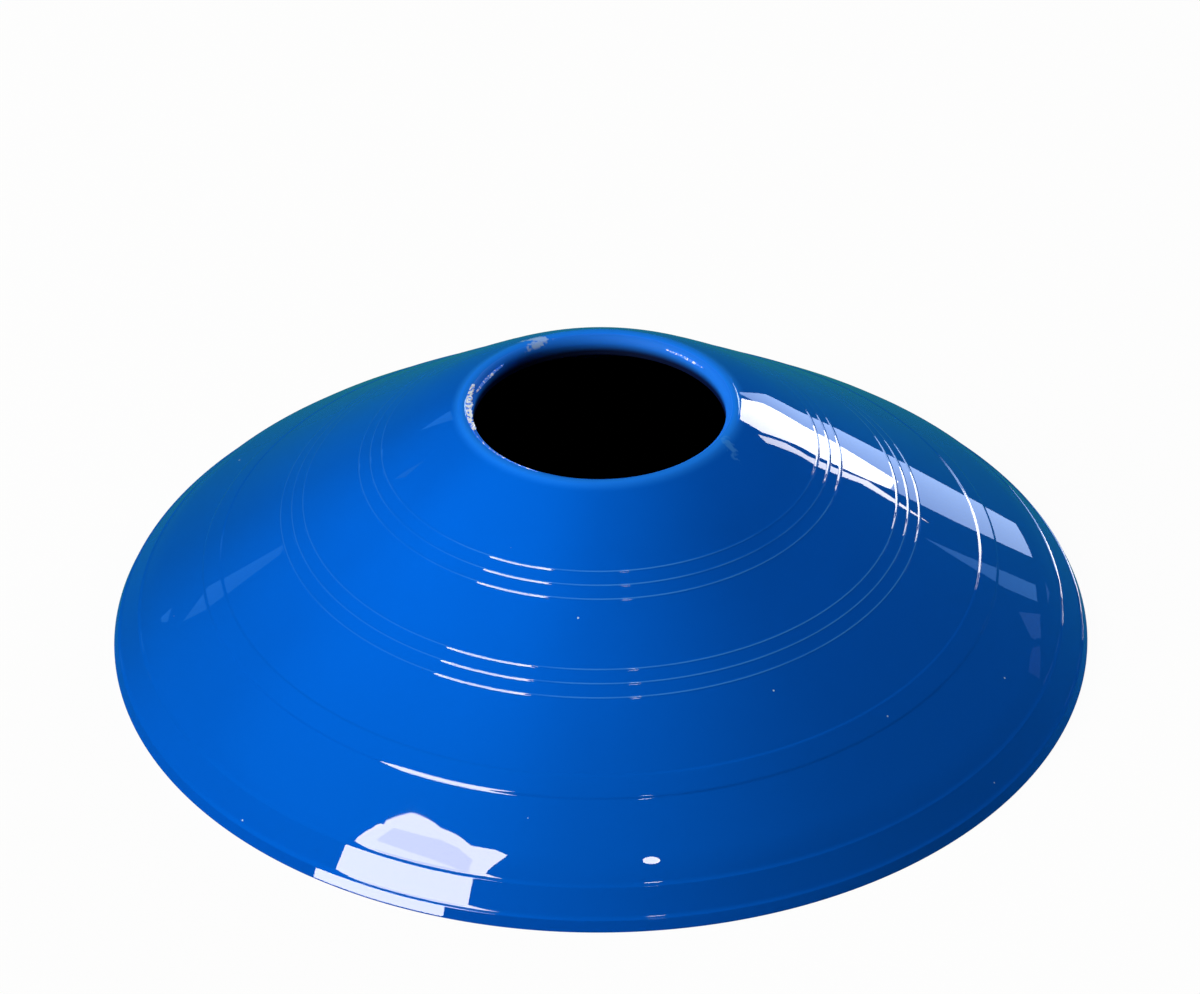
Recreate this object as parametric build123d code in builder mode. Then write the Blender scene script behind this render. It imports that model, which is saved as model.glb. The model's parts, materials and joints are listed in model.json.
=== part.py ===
from build123d import *
from math import asin, atan2, degrees, hypot
import os

# Sports marker cone: one thin moulded shell, open underneath, with a round hole in its crown.
# The frame is in millimetres, +Z up, with the origin on the ground at the centre of the rim.
# Radii run along +X in the section, heights along +Z.

# Driving dimensions, in millimetres
rim_diameter = 190.0            # across the rim where it stands on the ground
overall_height = 49.4           # ground to the top of the crown
hole_diameter = 48.0            # clear hole through the crown
wall = 1.3                      # thickness of the moulded skin

# Crown: the flank eases off in a long shoulder, then the skin rolls over and turns down as a short lip
crown_hollow = 0.7              # roll's centre to the underside of the skin, at both ends of the roll
lip_depth = 4.3                 # top of the crown to the lower edge of the turned-down lip
shoulder_round = 100.0          # radius of the shoulder, in the section
shoulder_angle = 27.0           # degrees of slope where the shoulder meets the roll

# Skirt: the outer stretch that curves down steeper than the flank
skirt_width = 9.4               # radial width, from the rim inwards
skirt_height = 9.5              # height of the skin where the skirt begins
upper_ledge_inset = 5.0         # rim to the outer edge of the upper ledge
upper_ledge_height = 6.1        # height of that edge
lower_ledge_inset = 0.85        # rim to the outer edge of the lower ledge
lower_ledge_height = 2.0        # height of that edge
ledge_width = 0.5               # radial width of each ledge
ledge_fall = 0.31               # drop across each ledge, so that it drains and releases from the mould
rim_land = 0.4                  # height of the upright edge at the foot of the rim
foot_width = 1.7                # width of the flat ring that the cone stands on

# Raised rings on the flank
bead_width = 0.6                # across the foot of one fine bead, along the slope
bead_height = 0.07              # crest of a bead above the skin
bead_pitch = 2.2                # radial step from one bead to the next
beads_in_set = 3                # beads side by side in one set
upper_set_diameter = 87.5       # ring through the middle bead of the upper set
lower_set_diameter = 118.3      # ring through the middle bead of the lower set
band_width = 4.3                # radial width of the broad raised band
band_gap = 8.3                  # band's outer edge to the start of the skirt
band_height = 0.12              # top of the band above the skin
band_ramp = 0.75                # length of the slope up each side of the band

# Radii and heights that follow from those
rim_radius = rim_diameter / 2
hole_radius = hole_diameter / 2
crown_round = crown_hollow + wall
crown_centre = (hole_radius + crown_round, overall_height - crown_round)
lip_foot_height = overall_height - lip_depth
skirt_radius = rim_radius - skirt_width

# The shoulder's centre lies below the roll's, so that both arcs share one tangent where they meet
shoulder_normal = Vector(0, 1).rotate(Axis.Z, -shoulder_angle)
shoulder_centre = Vector(*crown_centre) - shoulder_normal * (shoulder_round - crown_round)

# The flank is the straight line from the start of the skirt that is tangent to the shoulder
flank_run = skirt_radius - shoulder_centre.X
flank_fall = shoulder_centre.Y - skirt_height
flank_angle = degrees(atan2(flank_fall, flank_run) + asin(shoulder_round / hypot(flank_run, flank_fall)))
shoulder_turn = flank_angle - shoulder_angle
outward = Vector(0, 1).rotate(Axis.Z, -flank_angle)      # square to the flank, away from the ground
downhill = Vector(1, 0).rotate(Axis.Z, -flank_angle)     # along the flank, away from the hole
crown_turn = 90 + shoulder_angle    # degrees that the skin rolls, from the upright lip to the shoulder
skirt_top = Vector(skirt_radius, skirt_height)
ring_root = wall / 2            # how far the raised rings reach into the skin


def flank_plane(radius):
    """Sketch plane across the wall at a radius: its x runs downhill and its y out of the skin."""
    step = (radius - skirt_radius) / downhill.X
    point = skirt_top + downhill * step
    return Plane(
        origin=(point.X, 0, point.Y),
        x_dir=(downhill.X, 0, downhill.Y),
        z_dir=(0, -1, 0),
    )


def bead_planes(set_diameter):
    """One plane for each bead of a set, spread evenly about the set's middle ring."""
    first = set_diameter / 2 - bead_pitch * (beads_in_set - 1) / 2
    return [flank_plane(first + bead_pitch * number) for number in range(beads_in_set)]


with BuildPart() as cone_shell:
    # Section through one side of the shell, turned about the upright axis
    with BuildSketch(Plane.XZ):
        with BuildLine():
            # Outer skin: up the lip, over the crown and its shoulder, down the flank and the stepped skirt
            lip_bore = Line((hole_radius, lip_foot_height), (hole_radius, crown_centre[1]))
            crown = CenterArc(crown_centre, crown_round, 180, -crown_turn)
            shoulder = CenterArc(shoulder_centre, shoulder_round, 90 - shoulder_angle, -shoulder_turn)
            flank = Line(shoulder @ 1, skirt_top)
            upper_ledge_outer = (rim_radius - upper_ledge_inset, upper_ledge_height)
            upper_ledge_inner = (upper_ledge_outer[0] - ledge_width, upper_ledge_height + ledge_fall)
            lower_ledge_outer = (rim_radius - lower_ledge_inset, lower_ledge_height)
            lower_ledge_inner = (lower_ledge_outer[0] - ledge_width, lower_ledge_height + ledge_fall)
            skirt = TangentArc(flank @ 1, upper_ledge_inner, tangent=flank % 1)
            rim = Polyline(
                skirt @ 1,
                upper_ledge_outer,
                lower_ledge_inner,
                lower_ledge_outer,
                (rim_radius, rim_land),
                (rim_radius, 0),
            )

            # Inner skin: one wall thickness inside, from the lip back down to the flat foot
            lip_foot = Line(lip_bore @ 0, (hole_radius + wall, lip_foot_height))
            lip_back = Line(lip_foot @ 1, (hole_radius + wall, crown_centre[1]))
            crown_bevel = Line(lip_back @ 1, crown @ 1 - shoulder_normal * wall)
            inner_round = shoulder_round - wall
            inner_shoulder = CenterArc(shoulder_centre, inner_round, 90 - shoulder_angle, -shoulder_turn)
            inner_flank = Line(inner_shoulder @ 1, flank @ 1 - outward * wall)
            inner_skirt_end = skirt @ 1 - (skirt % 1).rotate(Axis.Z, 90) * wall
            inner_skirt = Line(inner_flank @ 1, inner_skirt_end)
            inner_rim = Line(inner_skirt @ 1, (rim_radius - foot_width, 0))
            foot = Line(inner_rim @ 1, rim @ 1)
        make_face()
    revolve(axis=Axis.Z)

    # Two sets of fine beads round the flank, each a low ridge with two slopes
    with BuildSketch(*bead_planes(upper_set_diameter), *bead_planes(lower_set_diameter)):
        with BuildLine():
            Polyline(
                (-bead_width / 2, -ring_root),
                (-bead_width / 2, 0),
                (0, bead_height),
                (bead_width / 2, 0),
                (bead_width / 2, -ring_root),
                close=True,
            )
        make_face()
    revolve(axis=Axis.Z)

    # The broad band just above the skirt, with a ramp up each side
    band_radius = skirt_radius - band_gap - band_width / 2
    band_half = band_width / 2 / downhill.X
    with BuildSketch(flank_plane(band_radius)):
        with BuildLine():
            Polyline(
                (-band_half, -ring_root),
                (-band_half, 0),
                (band_ramp - band_half, band_height),
                (band_half - band_ramp, band_height),
                (band_half, 0),
                (band_half, -ring_root),
                close=True,
            )
        make_face()
    revolve(axis=Axis.Z)

cone_shell.part.label = "cone_shell"

os.makedirs("parts", exist_ok=True)
export_step(cone_shell.part, "parts/cone_shell.step")

print("flank slope in degrees:", round(flank_angle, 2))
print("shell volume in cubic centimetres:", round(cone_shell.part.volume / 1000, 2))
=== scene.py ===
# %% [markdown]
# # A sports marker cone
# The object is a low round marker for training grounds. It is one thin moulding in glossy blue
# polyethylene: a rolled lip round the hole in the crown, a straight flank with fine raised rings, and a
# stepped rim. The solid model gives its place and its size, in metres, with the ground at height zero.
# This lesson draws the same section again, with the small rounds that a mould leaves, spins it into a
# shell, gives it its plastic and sets it on a pale floor in soft light.

import bmesh
import bpy
import json
from math import atan2, ceil, cos, degrees, pi, radians, sin, tan
from mathutils import Matrix, Vector


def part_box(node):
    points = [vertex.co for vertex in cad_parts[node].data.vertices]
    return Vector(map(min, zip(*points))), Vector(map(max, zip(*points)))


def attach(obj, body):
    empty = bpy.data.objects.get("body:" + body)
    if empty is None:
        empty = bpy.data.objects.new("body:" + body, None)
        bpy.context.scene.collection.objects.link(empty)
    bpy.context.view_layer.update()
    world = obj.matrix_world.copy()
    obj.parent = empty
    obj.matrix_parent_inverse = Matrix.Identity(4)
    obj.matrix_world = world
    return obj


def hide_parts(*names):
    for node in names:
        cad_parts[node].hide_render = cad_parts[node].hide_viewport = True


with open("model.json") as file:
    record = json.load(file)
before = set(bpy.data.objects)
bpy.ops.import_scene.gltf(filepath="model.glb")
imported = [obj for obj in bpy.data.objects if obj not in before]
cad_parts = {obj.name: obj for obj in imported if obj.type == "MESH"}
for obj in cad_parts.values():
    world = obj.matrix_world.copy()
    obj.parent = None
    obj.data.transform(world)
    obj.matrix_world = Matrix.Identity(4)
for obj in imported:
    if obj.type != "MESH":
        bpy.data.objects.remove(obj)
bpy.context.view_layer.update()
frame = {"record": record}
scene = bpy.context.scene
scene.view_settings.view_transform = "Standard"

# %% [markdown]
# ## Sizes
# The rim, the height and the hole come from the solid itself, so the shell always fits it. The finer
# sizes repeat those of the moulding: its wall, its rolled crown, its rings and the two ledges above the
# ground.

# %% Sizes of the moulding
mm = 0.001
lowest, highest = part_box("cone_shell")
rim_radius = (highest.x - lowest.x) / 2
crown_height = highest.z
hole_mount = next(mount for mount in frame["record"]["mounts"] if mount["name"] == "crown_hole")
hole_radius = hole_mount["dims"]["r_mm"] * mm

wall = 1.3 * mm
crown_round = 2.0 * mm
lip_depth = 4.3 * mm
shoulder_round = 100 * mm
shoulder_slope = radians(27)
skirt_width = 9.4 * mm
skirt_height = 9.5 * mm
skirt_radius = rim_radius - skirt_width
print("rim radius, height and hole radius:", rim_radius, crown_height, hole_radius)

# %% [markdown]
# ## Where the flank lies
# Outside the roll of the crown the skin eases off in a long shoulder. The flank is the straight line from
# the top of the skirt that just touches that shoulder. Its slope comes from that, and everything on the
# flank is placed along it and square to it.

# %% The flank's line
crown_centre = Vector((hole_radius + crown_round, crown_height - crown_round))
shoulder_normal = Vector((sin(shoulder_slope), cos(shoulder_slope)))
shoulder_centre = crown_centre - shoulder_normal * (shoulder_round - crown_round)
skirt_top = Vector((skirt_radius, skirt_height))
reach = skirt_top - shoulder_centre
tangent_length = (reach.length_squared - shoulder_round**2) ** 0.5
slope = atan2(-reach.y, reach.x) + atan2(shoulder_round, tangent_length)
downhill = Vector((cos(slope), -sin(slope)))
outward = Vector((sin(slope), cos(slope)))


def on_flank(radius, height=0.0):
    """Point of the section at a radius on the flank, raised square to it."""
    return skirt_top + downhill * ((radius - skirt_radius) / downhill.x) + outward * height


print("flank slope in degrees:", round(degrees(slope), 2))

# %% [markdown]
# ## The corners of the section
# A moulded section is straight runs joined by rounds. So it is written as a list of corners, each with
# the radius that rounds it: the turned-down lip, the roll of the crown, the rings, the ledges, the foot,
# and back inside. First comes the crown, where the bore and the shoulder would meet in a sharp peak
# before the roll takes it off. The shoulder is one corner with a very large round, a little short so that
# a narrow edge holds the roll's tangent.

# %% Corners of the lip and the crown
sharp_edge = 0.15 * mm
shoulder_slack = 1.5 * mm
lip_foot = crown_height - lip_depth


def crown_peak(radius, roll):
    """Sharp peak over a radius, where the bore would meet the slope that leaves a roll."""
    leaving = crown_centre + shoulder_normal * roll
    return Vector((radius, leaving.y + (leaving.x - radius) * tan(shoulder_slope)))


half_turn = (slope - shoulder_slope) / 2
middle_slope = shoulder_slope + half_turn
shoulder_out = Vector((sin(middle_slope), cos(middle_slope)))
shoulder_corner = shoulder_centre + shoulder_out * (shoulder_round / cos(half_turn))
corners = [
    (Vector((hole_radius, lip_foot)), sharp_edge),
    (crown_peak(hole_radius, crown_round), crown_round),
    (shoulder_corner, shoulder_round - shoulder_slack),
]
print("corners of the lip and crown:", len(corners))

# %% [markdown]
# ## Rings on the flank
# Two sets of three fine beads run round the flank, and one broad flat band lies below them. A bead is a
# low ridge with a round crest and soft feet, so it is three corners: a foot, a peak and a foot. The band
# has a ramp up each side, so it is four. They are added from the hole outwards, in the order in which the
# outline meets them.

# %% Corners of the rings
bead_width = 0.7 * mm
bead_peak = 0.05 * mm
bead_crest_round = 0.7 * mm
bead_foot_round = 0.7 * mm
bead_pitch = 2.2 * mm
bead_sets = (43.75 * mm, 59.15 * mm)

for middle in bead_sets:
    for place in (-1, 0, 1):
        bead_radius = middle + place * bead_pitch
        half = bead_width / 2 * downhill.x
        corners += [
            (on_flank(bead_radius - half), bead_foot_round),
            (on_flank(bead_radius, bead_peak), bead_crest_round),
            (on_flank(bead_radius + half), bead_foot_round),
        ]

band_inner = 73.15 * mm
band_outer = 76.95 * mm
band_height = 0.1 * mm
band_ramp = 0.34 * mm
band_round = 1.1 * mm
ramp_reach = band_ramp * downhill.x
corners += [
    (on_flank(band_inner), band_round),
    (on_flank(band_inner + ramp_reach, band_height), band_round),
    (on_flank(band_outer - ramp_reach, band_height), band_round),
    (on_flank(band_outer), band_round),
]
print("corners with the rings:", len(corners))

# %% [markdown]
# ## The skirt, the ledges and the foot
# Below the band the skin bends down a little steeper, in one long soft round, and then drops over two
# narrow ledges to the ground. The hollow above each ledge is a wide cove, which gathers the light into a
# line.

# %% Corners of the skirt and the rim
skirt_bend_radius = 87.6 * mm
skirt_round = 34 * mm
upper_ledge_inset = 5.0 * mm
upper_ledge_height = 6.1 * mm
upper_cove = 3.0 * mm
lower_ledge_inset = 0.85 * mm
lower_ledge_height = 2.0 * mm
lower_cove = 2.2 * mm
ledge_width = 0.5 * mm
ledge_fall = 0.23 * mm
ledge_outer_round = 0.3 * mm
rim_land = 0.3 * mm
foot_width = 1.7 * mm
skirt_bend = on_flank(skirt_bend_radius)


def from_rim(inset, height):
    """Point of the section at a distance in from the rim and at a height."""
    return Vector((rim_radius - inset, height))


corners += [
    (skirt_bend, skirt_round),
    (from_rim(upper_ledge_inset + ledge_width, upper_ledge_height + ledge_fall), upper_cove),
    (from_rim(upper_ledge_inset, upper_ledge_height), ledge_outer_round),
    (from_rim(lower_ledge_inset + ledge_width, lower_ledge_height + ledge_fall), lower_cove),
    (from_rim(lower_ledge_inset, lower_ledge_height), ledge_outer_round),
    (from_rim(0.0, rim_land), sharp_edge),
    (from_rim(0.0, 0.0), sharp_edge / 2),
    (from_rim(foot_width, 0.0), sharp_edge),
]
print("corners down to the foot:", len(corners))

# %% [markdown]
# ## The inside
# The inner skin follows the outer one at the thickness of the wall, with fewer features: the rings are
# only raised on the outside. It ends at the back of the lip, where the outline closes on itself.

# %% Corners of the inner skin
inner_ledge_inset = 6.37 * mm
inner_ledge_height = 5.44 * mm
inner_round = 3 * mm
inner_slack = 4 * mm
inner_shoulder = shoulder_corner - shoulder_out * (wall / cos(half_turn))
corners += [
    (from_rim(inner_ledge_inset, inner_ledge_height), inner_round),
    (skirt_bend - outward * wall, skirt_round),
    (inner_shoulder, shoulder_round - inner_slack),
    (crown_peak(hole_radius + wall, crown_round - wall), crown_round - wall),
    (Vector((hole_radius + wall, lip_foot)), sharp_edge),
]
print("corners of the whole section:", len(corners))

# %% [markdown]
# ## Drawing the outline as by hand
# A single point, made by merging a plane, is walked round the section: extruding it draws a straight run,
# and spinning it about a centre draws a round. A short step at each end of a straight run leaves a
# holding edge, so that smooth shading stays flat along the run and only turns inside the rounds.

# %% Walk a point round the corners
holding_edge = 0.06 * mm
turn_step = radians(6)
run_step = 1.5 * mm
merge_reach = 0.002 * mm


def start_point(name, place):
    """Merge a new plane to one selected point of the upright section and stay in edit mode."""
    bpy.ops.object.select_all(action="DESELECT")
    bpy.ops.mesh.primitive_plane_add(size=wall)
    piece = bpy.context.object
    piece.name = name
    bpy.ops.object.mode_set(mode="EDIT")
    bpy.ops.mesh.merge(type="CENTER")
    bpy.ops.transform.translate(value=(place.x, 0, place.y))
    return piece


def walk(step):
    """Extrude the selected point along a straight run, with a holding edge near both ends."""
    pieces = [step]
    if step.length > 4 * holding_edge:
        hold = step.normalized() * holding_edge
        pieces = [hold, step - 2 * hold, hold]
    for part in pieces:
        bpy.ops.mesh.extrude_vertices_move(TRANSFORM_OT_translate={"value": (part.x, 0, part.y)})


def trace(name, corners):
    """Draw a closed outline round the corners, each one rounded by a spin."""
    places = [place for place, _ in corners]
    pen = (places[-1] + places[0]) / 2
    start = pen.copy()
    piece = start_point(name, pen)
    for number, (here, corner_round) in enumerate(corners):
        coming = (here - places[number - 1]).normalized()
        leaving = (places[(number + 1) % len(places)] - here).normalized()
        turn = atan2(coming.cross(leaving), coming.dot(leaving))
        tangent = corner_round * tan(abs(turn) / 2)
        walk(here - coming * tangent - pen)
        side = Vector((-coming.y, coming.x)) * (1 if turn > 0 else -1)
        centre = here - coming * tangent + side * corner_round
        steps = max(2, ceil(abs(turn) / turn_step), ceil(abs(turn) * corner_round / run_step))
        bpy.ops.mesh.spin(steps=steps, angle=turn, center=(centre.x, 0, centre.y), axis=(0, 1, 0))
        pen = here + leaving * tangent
    walk(start - pen)
    bpy.ops.mesh.select_all(action="SELECT")
    bpy.ops.mesh.remove_doubles(threshold=merge_reach)
    return piece


shell = trace("moulded_shell", corners)
bpy.ops.object.mode_set(mode="OBJECT")
print("points on the outline:", len(shell.data.vertices))

# %% [markdown]
# ## Spinning the shell
# The cone is a body of revolution, so one full spin of the outline about the upright axis makes the whole
# shell, inside and outside together. The seam is merged, and the normals are turned outwards.

# %% Spin the section
spin_steps = 320
sharp_angle = radians(40)
bpy.ops.object.mode_set(mode="EDIT")
bpy.ops.mesh.select_all(action="SELECT")
bpy.ops.mesh.spin(steps=spin_steps, angle=2 * pi, center=(0, 0, 0), axis=(0, 0, 1))
bpy.ops.mesh.select_all(action="SELECT")
bpy.ops.mesh.remove_doubles(threshold=merge_reach)
bpy.ops.mesh.normals_make_consistent(inside=False)
bpy.ops.object.mode_set(mode="OBJECT")
bpy.ops.object.shade_smooth_by_angle(angle=sharp_angle)
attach(shell, "root")
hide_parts("cone_shell")
print("faces of the shell:", len(shell.data.polygons))

# %% [markdown]
# ## The ragged trim in the hole
# The hole is cut out after moulding, and the knife leaves a torn white film along parts of the edge. Each
# piece of it is an arc of a circle laid on the roll of the lip, whose edge is extruded. The middle of the
# new edge is then pulled inwards and down with a soft falloff, which makes a crescent. Its points are
# shaken with a fixed seed, so that it looks torn, and a thin solidify gives it its thickness.

# %% Torn film on the edge of the hole
film_thickness = 0.12 * mm
film_points = 720
film_sharp_angle = radians(30)


def roll_height(radius):
    """Height of the top of the crown's roll at a radius."""
    return crown_centre.y + (crown_round**2 - (radius - crown_centre.x) ** 2) ** 0.5


def torn_film(name, middle, spread, root, width, drop, rough, seed):
    """Crescent of torn film rooted on the roll, widest at its middle angle, with a shaken inner edge."""
    bpy.ops.object.select_all(action="DESELECT")
    bpy.ops.mesh.primitive_circle_add(vertices=film_points, radius=root)
    piece = bpy.context.object
    piece.name = name
    bpy.ops.object.mode_set(mode="EDIT")
    bpy.ops.transform.translate(value=(0, 0, roll_height(root) + film_thickness / 4))
    bpy.ops.mesh.select_all(action="DESELECT")
    mesh = bmesh.from_edit_mesh(piece.data)
    towards = Vector((cos(middle), sin(middle), 0))
    for point in mesh.verts:
        flat = Vector((point.co.x, point.co.y, 0))
        point.select = flat.angle(towards) > spread
    mesh.select_flush(True)
    bmesh.update_edit_mesh(piece.data)
    bpy.ops.mesh.delete(type="VERT")
    bpy.ops.mesh.select_all(action="SELECT")
    bpy.ops.mesh.extrude_edges_move()
    bpy.ops.mesh.hide(unselected=True)
    bpy.ops.mesh.select_all(action="DESELECT")
    mesh = bmesh.from_edit_mesh(piece.data)
    inner_edge = [point for point in mesh.verts if not point.hide]
    tip = max(inner_edge, key=lambda point: point.co.dot(towards))
    tip.select = True
    bmesh.update_edit_mesh(piece.data)
    bpy.ops.transform.translate(
        value=towards * -width + Vector((0, 0, -drop)),
        use_proportional_edit=True,
        proportional_edit_falloff="SPHERE",
        proportional_size=root * spread,
    )
    bpy.ops.mesh.select_all(action="SELECT")
    bpy.ops.transform.vertex_random(offset=rough, uniform=0.4, normal=0.0, seed=seed)
    bpy.ops.mesh.reveal()
    bpy.ops.mesh.select_all(action="SELECT")
    bpy.ops.mesh.normals_make_consistent(inside=False)
    bpy.ops.object.mode_set(mode="OBJECT")
    thickness = piece.modifiers.new("thickness", "SOLIDIFY")
    thickness.thickness = film_thickness
    thickness.offset = 0
    bpy.ops.object.modifier_apply(modifier="thickness")
    bpy.ops.object.shade_smooth_by_angle(angle=film_sharp_angle)
    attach(piece, "root")
    print("torn film:", name, len(piece.data.polygons), "faces")
    return piece


films = [
    torn_film(
        "torn_film_left", middle=radians(182), spread=radians(19),
        root=25.3 * mm, width=1.15 * mm, drop=0.05 * mm, rough=0.35 * mm, seed=3,
    ),
    torn_film(
        "torn_film_near", middle=radians(221), spread=radians(22),
        root=25.4 * mm, width=0.25 * mm, drop=0.1 * mm, rough=0.08 * mm, seed=5,
    ),
    torn_film(
        "torn_film_far", middle=radians(153), spread=radians(14),
        root=24.25 * mm, width=0.5 * mm, drop=0.3 * mm, rough=0.1 * mm, seed=6,
    ),
    torn_film(
        "torn_film_right", middle=radians(46), spread=radians(12),
        root=24.3 * mm, width=0.3 * mm, drop=0.3 * mm, rough=0.1 * mm, seed=8,
    ),
]

# %% [markdown]
# ## Helpers for the finishes
# A finish is a small tree of nodes. The same few steps come again and again: noise, a smooth step from
# one range to another, a mix of two colours, and the reach from the middle of an oval mark. Each gets a
# short function. The patterns are laid on the object's own coordinates, so that a mark stays on the
# surface from every side.

# %% Helpers for the finishes
any_height = 1000


def new_finish(name):
    """Empty node material, its tree and its surface shader."""
    finish = bpy.data.materials.new(name)
    finish.use_nodes = True
    tree = finish.node_tree
    return finish, tree, tree.nodes["Principled BSDF"]


def add_math(tree, operation, first, second=0.0):
    """Math node; each input is a socket or a number."""
    node = tree.nodes.new("ShaderNodeMath")
    node.operation = operation
    for socket, value in zip(node.inputs, (first, second)):
        if isinstance(value, bpy.types.NodeSocket):
            tree.links.new(value, socket)
        else:
            socket.default_value = value
    return node.outputs["Value"]


def add_range(tree, value, low, high, to_low=0.0, to_high=1.0):
    """Smooth step of a value from one range to another."""
    node = tree.nodes.new("ShaderNodeMapRange")
    node.interpolation_type = "SMOOTHSTEP"
    tree.links.new(value, node.inputs["Value"])
    for name, number in zip(("From Min", "From Max", "To Min", "To Max"), (low, high, to_low, to_high)):
        node.inputs[name].default_value = number
    return node.outputs["Result"]


def add_noise(tree, coordinates, scale, detail=3.0):
    """Noise of a number of spots to the metre."""
    node = tree.nodes.new("ShaderNodeTexNoise")
    tree.links.new(coordinates, node.inputs["Vector"])
    node.inputs["Scale"].default_value = scale
    node.inputs["Detail"].default_value = detail
    return node.outputs["Fac"]


def add_mix(tree, factor, first, second):
    """Colour mix; each colour is a socket or three numbers."""
    node = tree.nodes.new("ShaderNodeMix")
    node.data_type = "RGBA"
    tree.links.new(factor, node.inputs["Factor"])
    for socket, value in zip((node.inputs[6], node.inputs[7]), (first, second)):
        if isinstance(value, bpy.types.NodeSocket):
            tree.links.new(value, socket)
        else:
            socket.default_value = (*value, 1.0)
    return node.outputs[2]


def add_oval(tree, coordinates, middle, turn, half_length, half_width):
    """Reach from the middle of an oval seen from above, at any height, where 1 is its border."""
    place = tree.nodes.new("ShaderNodeMapping")
    place.vector_type = "TEXTURE"
    tree.links.new(coordinates, place.inputs["Vector"])
    place.inputs["Location"].default_value = (*middle, 0)
    place.inputs["Rotation"].default_value = (0, 0, turn)
    place.inputs["Scale"].default_value = (half_length, half_width, any_height)
    reach = tree.nodes.new("ShaderNodeVectorMath")
    reach.operation = "LENGTH"
    tree.links.new(place.outputs["Vector"], reach.inputs[0])
    return reach.outputs["Value"]


print("finish helpers are ready")

# %% [markdown]
# ## Blue plastic
# The cone is self-coloured polyethylene with a high gloss. Its blue is faintly mottled, and it is painted
# darker towards the rim as painted shade. The roll of the crown is painted paler as a painted sheen from
# the light above, and inside the hole the blue is painted down to black as painted shade.

# %% Blue plastic of the shell
blue = (0.0, 0.1, 0.665)
deep_blue = (0.0, 0.094, 0.63)
rim_shade_blue = (0.0, 0.08, 0.53)
sheen_pale_blue = (0.012, 0.21, 0.97)
bore_shade_black = (0.0, 0.004, 0.03)
scuff_white = (0.55, 0.72, 0.92)
glint_and_smear_blue = (0.1, 0.42, 0.95)
rim_shade_fade = (48 * mm, 88 * mm)
crown_sheen_fade = (26.2 * mm, 28.4 * mm)
cut_fade = (24.9 * mm, 25.4 * mm)
bore_shade_fade = (45.9 * mm, 47.9 * mm)

blue_plastic, tree, surface = new_finish("blue_plastic")
coordinates = tree.nodes.new("ShaderNodeTexCoord").outputs["Object"]

mottle = add_range(tree, add_noise(tree, coordinates, 28), 0.35, 0.65)
colour = add_mix(tree, mottle, blue, deep_blue)

radius = add_oval(tree, coordinates, (0, 0), 0, 1.0, 1.0)
parts = tree.nodes.new("ShaderNodeSeparateXYZ")
tree.links.new(coordinates, parts.inputs["Vector"])
height = parts.outputs["Z"]
# Painted shade: the blue is painted darker towards the rim.
colour = add_mix(tree, add_range(tree, radius, *rim_shade_fade), colour, rim_shade_blue)
# Painted sheen: the roll of the crown is painted a paler blue, standing in for the light its upturned top
# catches.
painted_crown_sheen = add_range(tree, radius, *crown_sheen_fade, 1.0, 0.0)
colour = add_mix(tree, painted_crown_sheen, colour, sheen_pale_blue)
cut_edge = add_range(tree, radius, *cut_fade, 1.0, 0.0)
# Painted shade: inside the hole the blue is painted down to black with depth.
bore_shade_depth = add_range(tree, height, *bore_shade_fade, 1.0, 0.0)
colour = add_mix(tree, add_math(tree, "MULTIPLY", bore_shade_depth, cut_edge), colour, bore_shade_black)
print("nodes for the blue:", len(tree.nodes))

# %% [markdown]
# ## Glints on the beads
# Each bead's crest is painted a thin pale line, a painted highlight for the glint that the gloss draws
# along it. The distance from the nearest bead gives the line. Noise breaks it up, and it is stronger on
# the right.

# %% Painted glints along the beads
crest_fade = (0.04 * mm, 0.16 * mm)
crest_share = 0.4
glint_side_fade = (-45 * mm, 10 * mm)
least_glint = 0.25

nearest = []
for middle in bead_sets:
    away = add_math(tree, "ABSOLUTE", add_math(tree, "SUBTRACT", radius, middle))
    outer = add_math(tree, "ABSOLUTE", add_math(tree, "SUBTRACT", away, bead_pitch))
    nearest.append(add_math(tree, "MINIMUM", away, outer))
# Painted highlight: a thin pale line along each bead's crest.
crest = add_range(tree, add_math(tree, "MINIMUM", *nearest), *crest_fade, crest_share, 0.0)
glint_breaks = add_range(tree, add_noise(tree, coordinates, 35, 3), 0.3, 0.55)
glint_side = add_range(tree, parts.outputs["X"], *glint_side_fade, least_glint, 1.0)
crest_glint = add_math(tree, "MULTIPLY", add_math(tree, "MULTIPLY", crest, glint_breaks), glint_side)
colour = add_mix(tree, crest_glint, colour, glint_and_smear_blue)
print("bead sets with worn crests:", len(nearest))

# %% [markdown]
# ## Scuffs, specks and gloss
# One white scuff crosses the lip at the back, a pale smear lies beside the hole on the right, and a few
# specks are scattered over the flank. The scuff and the smear are ovals whose borders are frayed by a
# fine grain. The gloss is nearly that of a mirror, rougher on the scuff and in the cut hole, and a very
# weak ripple bends what it reflects.

# %% Scuffs, specks and gloss
scuff_bar_middle = (-12.6 * mm, 23.25 * mm)
scuff_smear_middle = (-12.0 * mm, 21.7 * mm)
lip_top_fade = (48.2 * mm, 48.7 * mm)
pale_smear_middle = (24.2 * mm, -13.6 * mm)
speck_fade = (0.012, 0.024)
smoothest, dullest = 0.004, 0.014
scuff_roughness = 0.35
crown_roughness = 0.03
cut_roughness = 0.6
gloss, cut_gloss = 0.5, 0.05
ripple_height = 0.008 * mm

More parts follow.
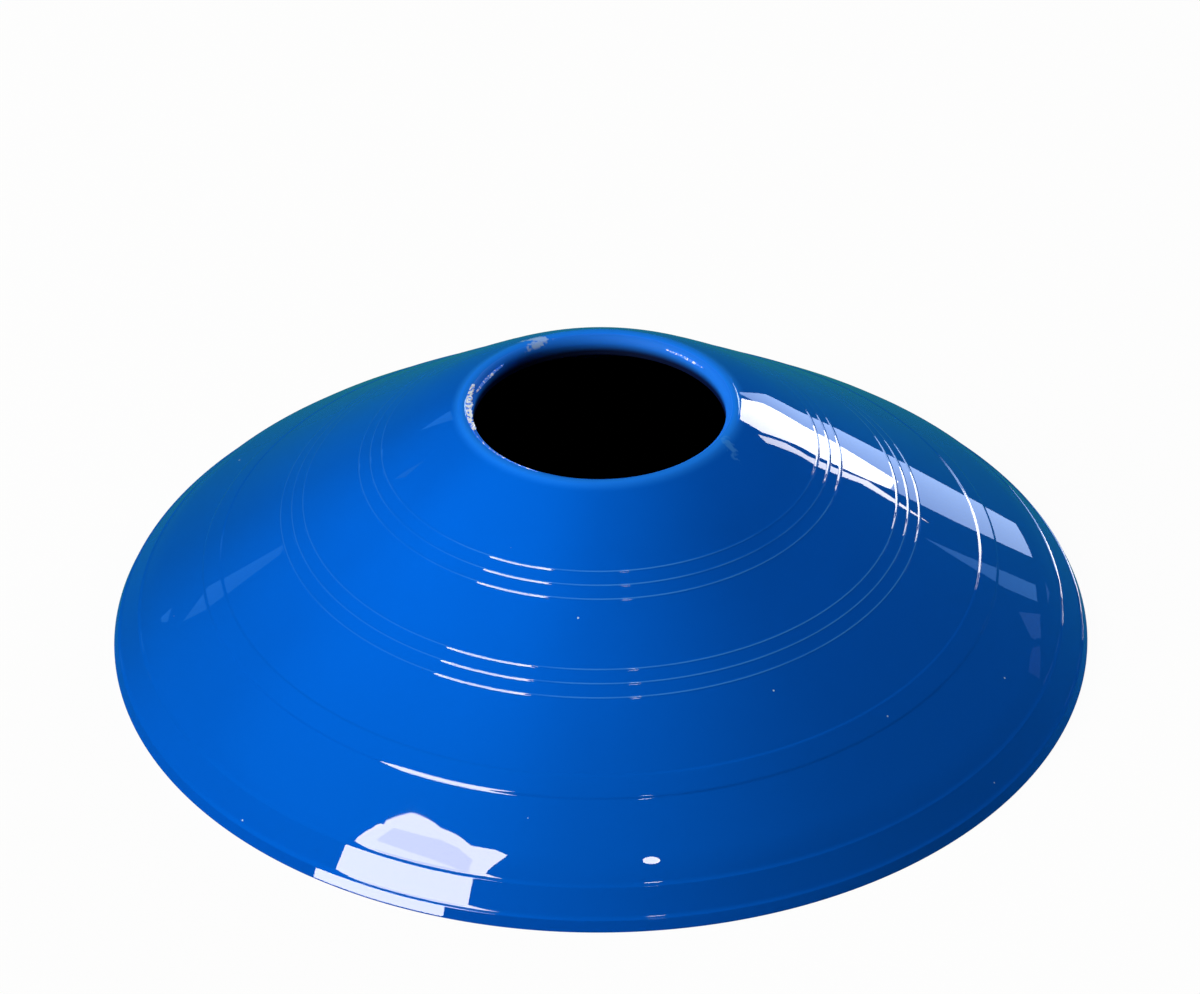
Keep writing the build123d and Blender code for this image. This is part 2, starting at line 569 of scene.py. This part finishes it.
grain = add_range(tree, add_noise(tree, coordinates, 1100, 6), 0.3, 0.7, 0.0, 0.9)
scuff_bar = add_oval(tree, coordinates, scuff_bar_middle, radians(4), 2.9 * mm, 0.75 * mm)
scuff_smear = add_oval(tree, coordinates, scuff_smear_middle, radians(42), 2.6 * mm, 0.8 * mm)
scuff_reach = add_math(tree, "MINIMUM", scuff_bar, scuff_smear)
scuff = add_range(tree, add_math(tree, "ADD", scuff_reach, grain), 1.0, 1.6, 0.6, 0.0)
scuff = add_math(tree, "MULTIPLY", scuff, add_range(tree, height, *lip_top_fade))
colour = add_mix(tree, scuff, colour, scuff_white)
pale_smear = add_oval(tree, coordinates, pale_smear_middle, radians(-62), 3.0 * mm, 1.0 * mm)
smear = add_range(tree, add_math(tree, "ADD", pale_smear, grain), 0.7, 1.6, 0.35, 0.0)
colour = add_mix(tree, smear, colour, glint_and_smear_blue)

specks = tree.nodes.new("ShaderNodeTexVoronoi")
tree.links.new(coordinates, specks.inputs["Vector"])
specks.inputs["Scale"].default_value = 95
speck = add_range(tree, specks.outputs["Distance"], *speck_fade, 1.0, 0.0)
colour = add_mix(tree, speck, colour, scuff_white)

tree.links.new(colour, surface.inputs["Base Color"])
rough = add_range(tree, add_noise(tree, coordinates, 60, 5), 0.3, 0.7, smoothest, dullest)
rough = add_math(tree, "ADD", rough, add_math(tree, "MULTIPLY", scuff, scuff_roughness))
rough = add_math(tree, "ADD", rough, add_math(tree, "MULTIPLY", painted_crown_sheen, crown_roughness))
rough = add_math(tree, "ADD", rough, add_math(tree, "MULTIPLY", cut_edge, cut_roughness))
tree.links.new(rough, surface.inputs["Roughness"])
surface.inputs["IOR"].default_value = 1.5
shine = add_range(tree, cut_edge, 0.0, 1.0, gloss, cut_gloss)
tree.links.new(shine, surface.inputs["Specular IOR Level"])

ripple = tree.nodes.new("ShaderNodeBump")
ripple.inputs["Distance"].default_value = ripple_height
tree.links.new(add_noise(tree, coordinates, 55, 2), ripple.inputs["Height"])
tree.links.new(ripple.outputs["Normal"], surface.inputs["Normal"])

shell.data.materials.clear()
shell.data.materials.append(blue_plastic)
print("blue plastic nodes:", len(tree.nodes))

# %% [markdown]
# ## Torn plastic
# Polyethylene turns white where it is torn, because the stretched skin is full of tiny voids. So the film
# has the same blue under a rough white that comes and goes along the tear: dense on the left, in flecks
# elsewhere.

# %% Whitened tear
tear_white = (0.95, 0.97, 1.0)
tear_grain = 1300
tear_border = 0.08


def torn_finish(name, threshold):
    """Rough plastic that is white where its noise passes a threshold."""
    finish, tree, surface = new_finish(name)
    coordinates = tree.nodes.new("ShaderNodeTexCoord").outputs["Object"]
    flecks = add_noise(tree, coordinates, tear_grain, 4)
    whitened = add_range(tree, flecks, threshold, threshold + tear_border)
    # Under its white the film takes the crown's paler blue, which is a painted sheen.
    tree.links.new(add_mix(tree, whitened, sheen_pale_blue, tear_white), surface.inputs["Base Color"])
    surface.inputs["Roughness"].default_value = 0.5
    return finish


dense_tear = torn_finish("dense_tear", 0.40)
flecked_tear = torn_finish("flecked_tear", 0.54)
for film in films:
    film.data.materials.clear()
    film.data.materials.append(dense_tear if film.name == "torn_film_left" else flecked_tear)
print("torn finishes:", dense_tear.name, flecked_tear.name)

# %% [markdown]
# ## Floor
# The cone stands on a plain white floor. What the camera sees of the floor is mostly its own white, and
# the rest is lit, so it keeps a faint shadow. A dark disc lies under the shell as painted shade, so that
# the hollow seen through the hole looks black.

# %% Floor and painted shade disc
floor_size = 8.0
floor_white = 0.96
floor_drop = 0.05 * mm
floor_greys = (0.88, 0.88, 0.88), (0.9, 0.9, 0.9)
ground_inset = 1 * mm
shade_disc_greens = (0.002, 0.003, 0.001), (0.006, 0.009, 0.003)


def show_white(tree, surface, share):
    """Mix plain white into a shader by a share, for camera rays alone."""
    white = tree.nodes.new("ShaderNodeEmission")
    white.inputs["Strength"].default_value = 1.0
    seen = tree.nodes.new("ShaderNodeLightPath").outputs["Is Camera Ray"]
    blend = tree.nodes.new("ShaderNodeMixShader")
    tree.links.new(add_math(tree, "MULTIPLY", seen, share), blend.inputs["Fac"])
    tree.links.new(surface.outputs["BSDF"], blend.inputs[1])
    tree.links.new(white.outputs["Emission"], blend.inputs[2])
    tree.links.new(blend.outputs["Shader"], tree.nodes["Material Output"].inputs["Surface"])


bpy.ops.object.select_all(action="DESELECT")
bpy.ops.mesh.primitive_plane_add(size=floor_size, location=(0, 0, -floor_drop))
floor = bpy.context.object
floor.name = "pale_floor"
floor.visible_glossy = False
pale, tree, surface = new_finish("pale_floor")
coordinates = tree.nodes.new("ShaderNodeTexCoord").outputs["Object"]
shade = add_range(tree, add_noise(tree, coordinates, 3), 0.3, 0.7)
tree.links.new(add_mix(tree, shade, *floor_greys), surface.inputs["Base Color"])
surface.inputs["Roughness"].default_value = 0.9
surface.inputs["Specular IOR Level"].default_value = 0.0
show_white(tree, surface, floor_white)
floor.data.materials.append(pale)

# Painted shade: a dark disc under the shell keeps the hollow black.
bpy.ops.object.select_all(action="DESELECT")
bpy.ops.mesh.primitive_circle_add(vertices=96, radius=rim_radius - ground_inset, fill_type="NGON")
ground = bpy.context.object
ground.name = "painted_shade_disc"
shade_disc_finish, tree, surface = new_finish("painted_shade_finish")
coordinates = tree.nodes.new("ShaderNodeTexCoord").outputs["Object"]
shade_disc_grain = add_range(tree, add_noise(tree, coordinates, 220, 4), 0.3, 0.7)
tree.links.new(add_mix(tree, shade_disc_grain, *shade_disc_greens), surface.inputs["Base Color"])
surface.inputs["Roughness"].default_value = 1.0
surface.inputs["Specular IOR Level"].default_value = 0.0
ground.data.materials.append(shade_disc_finish)
print("floor size in metres:", floor_size)

# %% [markdown]
# ## Light
# A high gloss shows its lamps as sharp white shapes. So the light is split: soft lamps that only the
# colour sees, and reflector cards that only the gloss sees. The lamps come first: a key on the left in
# front, a weaker one behind.

# %% Soft lamps
lamp_distance = 3.0
lamp_size = 1.4


def direction(azimuth, elevation):
    """Unit vector from the cone towards an azimuth from +X and an elevation, in degrees."""
    around, up = radians(azimuth), radians(elevation)
    return Vector((cos(up) * cos(around), cos(up) * sin(around), sin(up)))


def soft_lamp(name, azimuth, elevation, power, colour=(1, 1, 1)):
    """Square soft lamp that lights the colour but isn't mirrored."""
    place = direction(azimuth, elevation) * lamp_distance
    turn = place.to_track_quat("Z", "Y").to_euler()
    bpy.ops.object.light_add(type="AREA", location=place, rotation=turn)
    lamp = bpy.context.object
    lamp.name = name
    lamp.data.size = lamp_size
    lamp.data.energy = power
    lamp.data.color = colour
    lamp.visible_glossy = False
    print("lamp:", name, power, "W")


soft_lamp("key_lamp", -154, 35, 84, (1.0, 1.0, 0.9))
soft_lamp("back_lamp", 44, 17, 49)

# %% [markdown]
# ## Reflector cards
# Each card stands in the direction that the surface mirrors to the camera. Its corners are walked with a
# point, as the section was, and filled with one face. The first is the large window in front on the left,
# with a slightly dimmer part in it. On the steps of the skirt its image breaks into pieces. A small round
# lamp hangs beside it.

# %% Reflector cards
card_distance = 1.2
card_gap = 0.01


def glow(name, colour, strength):
    """Emission finish for a reflector."""
    finish = bpy.data.materials.new(name)
    finish.use_nodes = True
    nodes = finish.node_tree.nodes
    nodes.remove(nodes["Principled BSDF"])
    light = nodes.new("ShaderNodeEmission")
    light.inputs["Color"].default_value = (*colour, 1.0)
    light.inputs["Strength"].default_value = strength
    finish.node_tree.links.new(light.outputs["Emission"], nodes["Material Output"].inputs["Surface"])
    return finish


def gloss_only(piece):
    """Hide a stage piece from everything but the gloss."""
    piece.visible_camera = False
    piece.visible_diffuse = False
    piece.visible_transmission = False
    piece.visible_shadow = False


def card(name, azimuth, elevation, distance, corners, strength, colour=(1, 1, 1)):
    """Reflector card with corners given across and up, turned to the cone and seen by the gloss alone."""
    pen = Vector(corners[0])
    piece = start_point(name, pen)
    for corner in corners[1:]:
        step = Vector(corner) - pen
        bpy.ops.mesh.extrude_vertices_move(TRANSFORM_OT_translate={"value": (step.x, 0, step.y)})
        pen = Vector(corner)
    bpy.ops.mesh.select_all(action="SELECT")
    bpy.ops.mesh.edge_face_add()
    bpy.ops.object.mode_set(mode="OBJECT")
    piece.location = direction(azimuth, elevation) * distance
    piece.rotation_euler = piece.location.to_track_quat("-Y", "Z").to_euler()
    piece.data.materials.append(glow(name, colour, strength))
    gloss_only(piece)
    print("card:", name, strength)


front_azimuth, front_elevation = -138, 36
front_window = [
    (-0.284, 0.474), (-0.29, 0.43), (-0.235, 0.0), (-0.3, -0.8), (0.4, -0.7), (0.265, 0.16),
    (0.17, 0.617), (0.109, 0.629), (0.038, 0.613), (-0.095, 0.551), (-0.21, 0.508),
]
front_shade = [(-0.2, 0.25), (-0.235, 0.455), (-0.08, 0.525), (0.013, 0.51), (0.12, 0.43), (0.17, 0.3)]
shade_white = (0.93, 0.94, 1.0)
shade_distance = card_distance - card_gap
card("front_window", front_azimuth, front_elevation, card_distance, front_window, 19)
card("front_shade", front_azimuth, front_elevation, shade_distance, front_shade, 16.5, shade_white)

lamp_width, lamp_height = 0.029, 0.041
round_lamp_distance = 1.25
round_lamp = [
    (lamp_width * cos(radians(turn)), lamp_height * sin(radians(turn))) for turn in range(0, 360, 15)
]
card("round_lamp", -73.2, 62.8, round_lamp_distance, round_lamp, 20)

# %% [markdown]
# ## The side window
# On the right flank the gloss shows a tall window: a white pane, a lavender one under it, a thin bright
# frame line beside them and some dim panes further off. They hang in one nearly upright plane, so their
# corners are measured on it.

# %% Panes of the side window
side_azimuth, side_elevation, side_distance = 55, 8, 0.8
lavender = (0.46, 0.66, 1.0)
dim_blue = (0.15, 0.5, 1.0)
white_pane = [
    (-0.02, 0.30), (-0.07, 0.25), (-0.075, 0.11), (-0.045, 0.03),
    (0.0, -0.02), (0.04, -0.02), (0.09, 0.055), (0.075, 0.30),
]
lower_pane = [
    (-0.045, 0.03), (-0.048, -0.055), (0.03, -0.125),
    (0.12, -0.11), (0.155, -0.04), (0.12, 0.1),
]
frame_line = [
    (-0.088, 0.29), (-0.087, 0.185), (-0.10, 0.14), (-0.06, 0.06),
    (-0.095, 0.055), (-0.085, 0.09), (-0.122, 0.155), (-0.118, 0.29),
]
dim_panes = [
    (1.7, [(-0.15, 0.113), (-0.123, 0.035), (-0.117, 0.01), (-0.157, 0.047), (-0.166, 0.077)]),
    (0.9, [(-0.207, 0.107), (-0.182, 0.068), (-0.252, 0.096), (-0.252, 0.142)]),
    (0.6, [(-0.278, 0.167), (-0.275, 0.11), (-0.39, 0.116), (-0.355, 0.198)]),
    (0.9, [(-0.103, -0.044), (-0.127, -0.051), (-0.159, -0.007)]),
]
card("white_pane", side_azimuth, side_elevation, side_distance - card_gap, white_pane, 11)
card("lower_pane", side_azimuth, side_elevation, side_distance, lower_pane, 3.9, lavender)
card("frame_line", side_azimuth, side_elevation, side_distance, frame_line, 8)
for number, (strength, pane) in enumerate(dim_panes):
    card(f"dim_pane_{number}", side_azimuth, side_elevation, side_distance, pane, strength, dim_blue)

# %% [markdown]
# ## The sky
# Round surfaces mirror every direction, so the gloss needs a whole sky. A large dome glows dim teal all
# round, as from grass and trees out of view, with one wide blue patch high on the left that fades off by
# its direction and has a brighter core.

# %% Sky dome
sky_blue = (0.0, 0.2, 1.0)
teal = (0.06, 0.75, 0.85)
dome_radius = 4.0
dome_strength = 0.24
patch_azimuth, patch_elevation = -179, 58
bpy.ops.object.select_all(action="DESELECT")
bpy.ops.mesh.primitive_uv_sphere_add(segments=48, ring_count=24, radius=dome_radius)
dome = bpy.context.object
dome.name = "sky_dome"
gloss_only(dome)

sky = glow("sky_dome", teal, dome_strength)
tree = sky.node_tree
nearness = tree.nodes.new("ShaderNodeVectorMath")
nearness.operation = "DOT_PRODUCT"
tree.links.new(tree.nodes.new("ShaderNodeTexCoord").outputs["Object"], nearness.inputs[0])
nearness.inputs[1].default_value = direction(patch_azimuth, patch_elevation) / dome_radius
patch = tree.nodes.new("ShaderNodeEmission")
patch.inputs["Color"].default_value = (*sky_blue, 1.0)
wide_glow = add_range(tree, nearness.outputs["Value"], 0.3, 1.0, 0.0, 3.2)
bright_core = add_range(tree, nearness.outputs["Value"], 0.82, 1.0, 0.0, 2.2)
tree.links.new(add_math(tree, "ADD", wide_glow, bright_core), patch.inputs["Strength"])
both = tree.nodes.new("ShaderNodeAddShader")
tree.links.new(tree.nodes["Emission"].outputs["Emission"], both.inputs[0])
tree.links.new(patch.outputs["Emission"], both.inputs[1])
tree.links.new(both.outputs["Shader"], tree.nodes["Material Output"].inputs["Surface"])
dome.data.materials.append(sky)
print("dome radius in metres:", dome_radius)

# %% [markdown]
# ## Cards behind the cone
# Two cards behind tint both sides of the lip's roll, and one small bright card draws the arc on its
# right. A few faint panes stand further to the left.

# %% Sky cards
rear = [(-0.2, 0.16), (-0.2, -0.16), (0.2, -0.16), (0.2, 0.16)]
card("rear_sky_left", 110, 28, card_distance, rear, 1.5, sky_blue)
card("rear_sky_right", 66, 28, card_distance, rear, 1.6, sky_blue)
arc = [(-0.085, 0.07), (-0.085, -0.07), (0.085, -0.07), (0.085, 0.07)]
card("arc_light", 72, 30, card_distance, arc, 8, (0.75, 1.0, 1.0))

pane_blue = (0.05, 0.38, 1.0)
left_azimuth = 130
left_panes = [
    [(0.10, 0.085), (0.105, 0.14), (0.13, 0.16), (0.155, 0.135), (0.15, 0.115)],
    [(0.10, 0.062), (0.115, 0.066), (0.13, 0.087)],
    [(-0.045, 0.14), (-0.105, 0.175), (-0.05, 0.25)],
    [(0.135, 0.245), (0.118, 0.315), (0.16, 0.28)],
]
for number, pane in enumerate(left_panes):
    card(f"left_pane_{number}", left_azimuth, side_elevation, side_distance, pane, 2.1, pane_blue)

# %% [markdown]
# ## World
# The camera sees white all round, and the colour of the plastic gets a faint neutral fill.

# %% World
faint_fill = 0.04
world = bpy.data.worlds.new("studio")
scene.world = world
world.use_nodes = True
tree = world.node_tree
fill = tree.nodes["Background"]
fill.inputs["Color"].default_value = (1.0, 1.0, 1.0, 1.0)
rays = tree.nodes.new("ShaderNodeLightPath")
fill_strength = add_range(tree, rays.outputs["Is Camera Ray"], 0.0, 1.0, faint_fill, 1.0)
tree.links.new(fill_strength, fill.inputs["Strength"])
print("world nodes:", len(tree.nodes))

# %% [markdown]
# ## Camera
# The camera stands in front of the cone, a little over three quarters of a metre away and well above it,
# with a long lens. Its small roll repeats the slight lean of a picture that is taken by hand.

# %% Camera
camera_place = Vector((0.0, -0.6255, 0.4582))
camera_tilt = radians(55.48)
camera_roll = radians(-0.33)
turned = Matrix.Rotation(camera_tilt, 3, "X") @ Matrix.Rotation(camera_roll, 3, "Z")
bpy.ops.object.camera_add(location=camera_place, rotation=turned.to_euler())
camera = bpy.context.object
camera.name = "camera"
camera.data.lens = 118.5
camera.data.sensor_width = 36.0
camera.data.clip_start = 0.01
scene.camera = camera
print("camera at:", tuple(camera.location))
